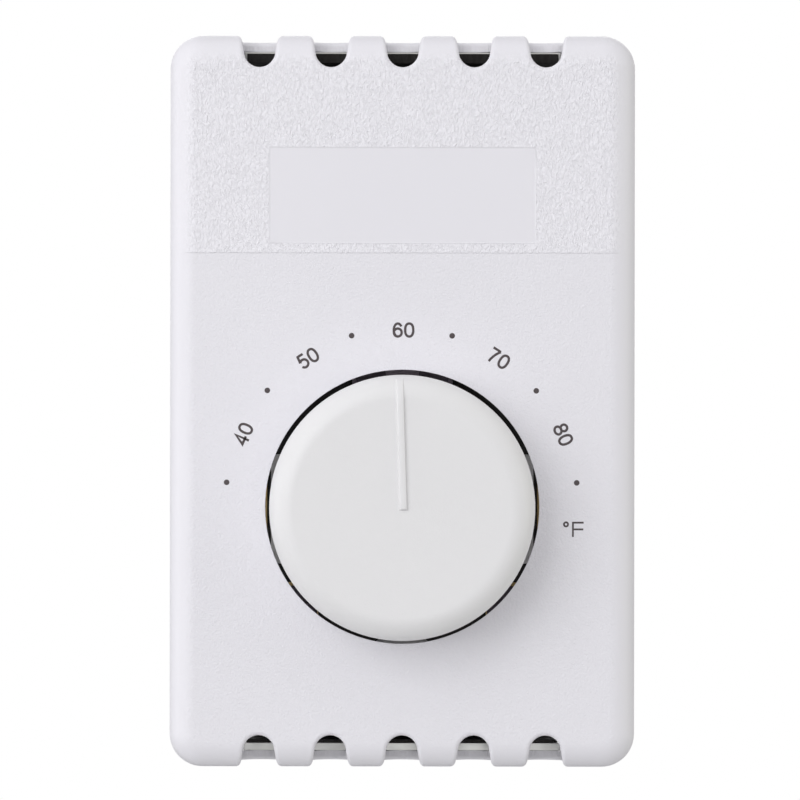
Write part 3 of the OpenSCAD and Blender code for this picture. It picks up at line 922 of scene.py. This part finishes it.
def shade(colour, amount):
    """A colour made lighter or darker."""
    return tuple(clamp(c * amount, 0, 1) for c in colour)


def moulded_plastic(name, colour, roughness, grain_mm=0.25, depth_mm=0.03):
    """Plain moulded plastic: a faint cloud of tone and a fine satin grain."""
    finish = Finish(name, roughness, Specular_IOR_Level=0.4)
    cloud = finish.noise(9, 3)
    finish.colour(finish.blend(cloud, shade(colour, 0.985), shade(colour, 1.01)))
    grain = finish.noise(grain_mm, 3)
    finish.roughness(finish.ramp(grain, 0.2, 0.8, roughness - 0.05, roughness + 0.05))
    finish.bump(grain, depth_mm)
    return finish.material


def grained_plastic_painted_light():
    """Cover plastic: coarse leather grain above, finer below, smooth on the rounded edges
    and on the label panel. The coarse grain's colour is painted lighter on its peaks,
    a painted highlight that offsets the shade its bump adds."""
    colour = COVER_COLOUR
    finish = Finish("cover_plastic_grain_painted_light", 0.45, Specular_IOR_Level=0.4)

    axes = finish.add("ShaderNodeSeparateXYZ", {0: finish.place})
    x = finish.math("ABSOLUTE", axes.outputs[0])
    z = axes.outputs[2]
    far_z = finish.math("ABSOLUTE", z)
    upper = finish.ramp(z, (COARSE_ABOVE_Z - 0.1) * MM, (COARSE_ABOVE_Z + 0.1) * MM)
    side_x, side_z = COVER_W / 2 - EDGE_R, COVER_H / 2 - EDGE_R
    near_side = finish.ramp(x, side_x * MM, (side_x + 2) * MM, 1.0, 0.12)
    near_end = finish.ramp(far_z, (side_z - 0.5) * MM, (side_z + 1.5) * MM, 1.0, 0.12)
    edge_fade = finish.math("MULTIPLY", near_side, near_end)

    in_x = finish.math("LESS_THAN", x, PANEL_HALF_W * MM)
    above = finish.math("GREATER_THAN", z, PANEL_Z[0] * MM)
    below = finish.math("LESS_THAN", z, PANEL_Z[1] * MM)
    in_z = finish.math("MULTIPLY", above, below)
    panel = finish.math("MULTIPLY", in_x, in_z)
    off_panel = finish.math("SUBTRACT", 1.0, panel)

    slanted = finish.stretched((0, math.radians(28), 0), (1.25, 1, 0.75))
    coarse = finish.noise(0.42, 2.5, 0.7, slanted)
    fine = finish.noise(0.36, 2, 0.3)
    coarse_height = finish.math("MULTIPLY", coarse, upper)
    fine_share = finish.ramp(upper, 0, 1, FINE_SHARE, 0.0)
    fine_height = finish.math("MULTIPLY", fine, fine_share)
    height = finish.math("ADD", coarse_height, fine_height)
    height = finish.math("MULTIPLY", height, edge_fade)
    height = finish.math("MULTIPLY", height, off_panel)
    finish.bump(height, GRAIN_DEPTH)
    finish.roughness(finish.ramp(coarse, 0.2, 0.8, 0.40, 0.50))

    cloud = finish.noise(14, 2)
    smooth = finish.blend(cloud, shade(colour, 0.99), shade(colour, 1.01))
    # Painted highlight: the coarse grain is painted lighter, most on its peaks, to offset the shade
    # its bump adds.
    painted_peak_light = finish.ramp(coarse, 0.3, 0.7)
    grain_and_painted_light = finish.blend(painted_peak_light, colour, shade(colour, COARSE_PAINTED_LIGHT))
    painted_light_share = finish.math("MULTIPLY", finish.math("MULTIPLY", upper, edge_fade), off_panel)
    finish.colour(finish.blend(painted_light_share, smooth, grain_and_painted_light))
    return finish.material


def rolled_metal(name, colour, roughness, stretch=(1, 1, 12), cell_mm=0.6, depth_mm=0.003):
    """Sheet metal or wire: fine drawn lines, cloudy tone, uneven gloss."""
    finish = Finish(name, roughness, 1.0)
    lines = finish.noise(cell_mm, 3, 0, finish.stretched(scale=tuple(1 / s for s in stretch)))
    cloud = finish.noise(5, 4, 0.4)
    tone = finish.math("MULTIPLY", finish.math("ADD", lines, cloud), 0.5)
    finish.colour(finish.blend(tone, shade(colour, 0.78), shade(colour, 1.12)))
    finish.roughness(finish.ramp(tone, 0.3, 0.7, roughness - 0.08, roughness + 0.1))
    finish.bump(lines, depth_mm)
    return finish.material


def zinc_plated(name, colour):
    """Zinc-plated steel: spangled tone over fine rolling lines."""
    finish = Finish(name, 0.38, 1.0)
    spangle = finish.cells(2.4)
    lines = finish.noise(0.5, 3, 0, finish.stretched(scale=(1, 1, 0.06)))
    cloud = finish.noise(7, 4, 0.5)
    tone = finish.math("MULTIPLY", finish.math("ADD", spangle, cloud), 0.55)
    finish.colour(finish.blend(tone, shade(colour, 0.85), shade(colour, 1.08)))
    finish.roughness(finish.ramp(cloud, 0.3, 0.7, 0.3, 0.48))
    finish.bump(lines, 0.002)
    return finish.material


def pressed_fibre(name, colour):
    """Vulcanised fibre sheet: matt, mottled and slightly felted."""
    finish = Finish(name, 0.75)
    felt = finish.noise(0.5, 5, 0.6, finish.stretched(scale=(1, 1, 0.35)))
    cloud = finish.noise(6, 3)
    tone = finish.math("MULTIPLY", finish.math("ADD", felt, cloud), 0.5)
    finish.colour(finish.blend(tone, shade(colour, 0.6), shade(colour, 1.5)))
    finish.roughness(finish.ramp(felt, 0.3, 0.7, 0.62, 0.85))
    finish.bump(felt, 0.02)
    return finish.material


def moulded_phenolic(name, colour):
    """Phenolic moulding: dark, glossy, with lighter filler specks."""
    finish = Finish(name, 0.34)
    specks = finish.cells(0.9)
    flecks = finish.ramp(specks, 0.06, 0.22, 1.0, 0.0)
    cloud = finish.noise(8, 3)
    mottled = finish.blend(cloud, shade(colour, 0.8), shade(colour, 1.3))
    finish.colour(finish.blend(finish.math("MULTIPLY", flecks, 0.35), mottled, shade(colour, 4)))
    finish.roughness(finish.ramp(cloud, 0.3, 0.7, 0.28, 0.42))
    finish.bump(finish.noise(0.7, 3), 0.006)
    return finish.material


def glazed_ceramic(name, colour):
    """Glazed ceramic: softly clouded under a thin clear coat."""
    finish = Finish(name, 0.3, Coat_Weight=0.3)
    cloud = finish.noise(2.5, 4)
    finish.colour(finish.blend(cloud, shade(colour, 0.93), shade(colour, 1.04)))
    finish.bump(finish.noise(0.4, 3), 0.004)
    return finish.material


def printed_ink():
    """Warm dark grey ink, thinner in places."""
    finish = Finish("scale_ink", 0.6)
    patches = finish.noise(0.22, 3)
    finish.colour(finish.blend(patches, (0.052, 0.040, 0.043), (0.092, 0.074, 0.078)))
    finish.bump(patches, 0.003)
    return finish.material


STEEL = (0.62, 0.62, 0.61)
BRASS = (0.72, 0.53, 0.24)


def make_finishes():
    """One material for each material slot of the record."""
    return {
        "cover_plastic": grained_plastic_painted_light(),
        "knob_plastic": moulded_plastic("knob_plastic_satin", (0.79, 0.785, 0.80), 0.42),
        "plated_steel": zinc_plated("zinc_plated_steel", (0.74, 0.74, 0.72)),
        "spring_steel": rolled_metal("spring_steel_drawn", (0.42, 0.42, 0.43), 0.32),
        "screw_steel": rolled_metal("screw_steel_turned", STEEL, 0.3, (3, 1, 3), 0.4),
        "ground_green": rolled_metal("green_dyed_zinc", (0.03, 0.30, 0.10), 0.36, (3, 1, 3), 0.4),
        "fibre": pressed_fibre("black_fibre", (0.012, 0.010, 0.009)),
        "phenolic": moulded_phenolic("black_phenolic", (0.018, 0.014, 0.012)),
        "brass": rolled_metal("brass_rolled", BRASS, 0.34),
        "bronze": rolled_metal("phosphor_bronze", (0.70, 0.42, 0.24), 0.3, (12, 1, 1)),
        "silver": rolled_metal("silver_alloy", (0.85, 0.84, 0.80), 0.25, (1, 1, 1), 0.3),
        "bimetal": rolled_metal("bimetal_rolled", (0.55, 0.50, 0.40), 0.33, (12, 1, 1)),
        "magnet": pressed_fibre("sintered_magnet", (0.07, 0.07, 0.075)),
        "soft_iron": rolled_metal("soft_iron_rolled", (0.36, 0.36, 0.37), 0.42, (1, 1, 1)),
        "white_ceramic": glazed_ceramic("white_ceramic_glazed", (0.82, 0.80, 0.74)),
        "resistor_brown": glazed_ceramic("resistor_brown_glazed", (0.28, 0.13, 0.06)),
    }


def dress_cad_nodes(finishes):
    """Gives every CAD node that stays its material and slightly rounded edges. The steel and
    screws seen in the gap round the knob get darker copies of their slots' steel, painted shade, as
    the photo's gap is dark."""
    replaced = {"cover", "knob", "carriage_spring"}
    # Painted shade: darker copies of the plated and screw steel, for the parts seen in the dark gap
    # round the knob.
    painted_shade_steel = zinc_plated("zinc_plated_steel_painted_shade", (0.30, 0.26, 0.30))
    painted_shade_screws = rolled_metal("screw_steel_painted_shade", (0.14, 0.12, 0.14), 0.4, (3, 1, 3), 0.4)
    special = {"carriage": painted_shade_steel, "guide_screws": painted_shade_screws, "terminal_screws": painted_shade_screws}
    for name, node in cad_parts.items():
        if name in replaced:
            continue
        slot = node.data.materials[0].name
        node.material_slots[0].material = special.get(name, finishes[slot])
        weld = node.modifiers.new("weld", "WELD")
        weld.merge_threshold = 0.005 * MM
        merge = node.modifiers.new("merge_flat_faces", "DECIMATE")
        merge.decimate_type = "DISSOLVE"
        merge.angle_limit = math.radians(0.5)
        bevel = node.modifiers.new("bevel", "BEVEL")
        bevel.width = NODE_BEVEL.get(slot, 0.12) * MM
        bevel.segments = 2
        bevel.limit_method = "ANGLE"
        bevel.angle_limit = math.radians(40)
        bevel.use_clamp_overlap = True
        even = node.modifiers.new("even_shading", "WEIGHTED_NORMAL")
        even.keep_sharp = True


# ---------------------------------------------------------------- studio

def make_world():
    """White backdrop for the camera; for everything else a grey light, weaker from below."""
    world = bpy.data.worlds.new("studio")
    world.use_nodes = True
    tree = world.node_tree
    background = tree.nodes["Background"]
    background.inputs["Color"].default_value = (1, 1, 1, 1)
    path = tree.nodes.new("ShaderNodeLightPath")
    seen = tree.nodes.new("ShaderNodeMapRange")
    direction = tree.nodes.new("ShaderNodeTexCoord")
    axes = tree.nodes.new("ShaderNodeSeparateXYZ")
    grey = tree.nodes.new("ShaderNodeMapRange")
    grey.inputs["From Min"].default_value = HORIZON_FADE[0]
    grey.inputs["From Max"].default_value = HORIZON_FADE[1]
    grey.inputs["To Min"].default_value = GROUND_LIGHT
    grey.inputs["To Max"].default_value = SKY_LIGHT
    seen.inputs["To Max"].default_value = 1.0
    tree.links.new(direction.outputs["Generated"], axes.inputs[0])
    tree.links.new(axes.outputs["Z"], grey.inputs["Value"])
    tree.links.new(grey.outputs[0], seen.inputs["To Min"])
    tree.links.new(path.outputs["Is Camera Ray"], seen.inputs["Value"])
    tree.links.new(seen.outputs[0], background.inputs["Strength"])
    bpy.context.scene.world = world


def make_floor():
    """Pale round floor below the object; the wall thermostat itself hangs clear of it."""
    form = bmesh.new()
    bmesh.ops.create_circle(form, cap_ends=True, radius=FLOOR_R, segments=128)
    mesh = bpy.data.meshes.new("studio_floor")
    form.to_mesh(mesh)
    form.free()
    finish = Finish("floor_paper", 0.9)
    finish.colour(finish.blend(finish.noise(40, 3), (0.84, 0.84, 0.84), (0.88, 0.88, 0.88)))
    mesh.materials.append(finish.material)
    floor = bpy.data.objects.new("studio_floor", mesh)
    floor.location = (0, 0, FLOOR_Z)
    bpy.context.scene.collection.objects.link(floor)


def softbox(name, azimuth, elevation, size, watts, colour=(1, 1, 1)):
    """Square soft light that faces the object; azimuth is from the front towards +X."""
    a, e = math.radians(azimuth), math.radians(elevation)
    away = Vector((math.sin(a) * math.cos(e), -math.cos(a) * math.cos(e), math.sin(e)))
    data = bpy.data.lights.new(name, "AREA")
    data.size = size
    data.energy = watts
    data.color = colour
    light = bpy.data.objects.new(name, data)
    light.location = away * LIGHT_DISTANCE
    light.rotation_euler = (-away).to_track_quat("-Z", "Y").to_euler()
    bpy.context.scene.collection.objects.link(light)


def make_lights():
    """Soft lights whose powers were fitted to the photo's tones."""
    softbox("key_left", -35, 15, 1.0, 7.4)
    softbox("key_above", -20, 50, 1.0, 1.55)
    softbox("fill_low", 10, -15, 0.55, 1.15)
    softbox("fill_right", 60, 25, 0.55, 0.75)
    softbox("rim_right", 85, 0, 0.55, 2.35, (1, 0.98, 0.80))
    softbox("rim_left", -85, 0, 0.55, 2.7)
    softbox("fill_behind", 180, 20, 1.0, 4.0)


def make_camera():
    """Straight in front of the object, from far enough to show its sides very little."""
    data = bpy.data.cameras.new("camera")
    data.lens = CAMERA_LENS
    data.sensor_width = 36
    data.clip_start = 0.05
    data.clip_end = 20
    camera = bpy.data.objects.new("camera", data)
    camera.location = CAMERA_PLACE
    camera.rotation_euler = (math.pi / 2, CAMERA_ROLL, 0)
    bpy.context.scene.collection.objects.link(camera)
    bpy.context.scene.camera = camera
    bpy.context.scene.view_settings.view_transform = "Standard"


def main():
    finishes = make_finishes()
    build_cover(finishes["cover_plastic"])
    build_cover_details(finishes["cover_plastic"])
    build_knob(finishes["knob_plastic"])
    build_knob_ribs(finishes["knob_plastic"])
    build_pointer(finishes["knob_plastic"])
    build_scale(printed_ink())
    build_spring(finishes["spring_steel"])
    dress_cad_nodes(finishes)
    make_world()
    make_floor()
    make_lights()
    make_camera()


main()
